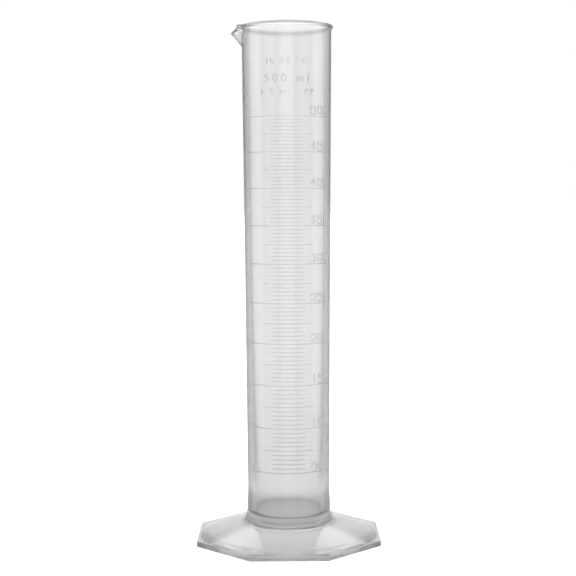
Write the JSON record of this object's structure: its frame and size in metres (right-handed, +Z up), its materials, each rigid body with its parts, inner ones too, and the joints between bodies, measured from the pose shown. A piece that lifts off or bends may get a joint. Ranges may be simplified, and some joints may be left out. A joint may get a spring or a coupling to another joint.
{
  "type": "graduated cylinder",
  "caption": "Tall translucent plastic measuring cylinder with a beaded rim, a pouring spout, a raised volume scale and a wide octagonal foot.",
  "frame": {"origin": "centre of the octagonal foot, on the surface it stands on", "axes": "+Z up the tube's axis, the scale faces -Y, the pouring spout points to -X"},
  "size_m": [0.12, 0.12, 0.3383],
  "materials": {
    "tube_polypropylene": "translucent natural polypropylene, satin gloss",
    "foot_polypropylene": "translucent natural polypropylene, satin gloss",
    "raised_scale": "translucent natural polypropylene, raised in the moulding, uncoloured"
  },
  "bodies": {
    "root": {"tube": "tube_polypropylene", "foot": "foot_polypropylene", "scale_lines": "raised_scale", "numerals": "raised_scale"}
  },
  "joints": []
}
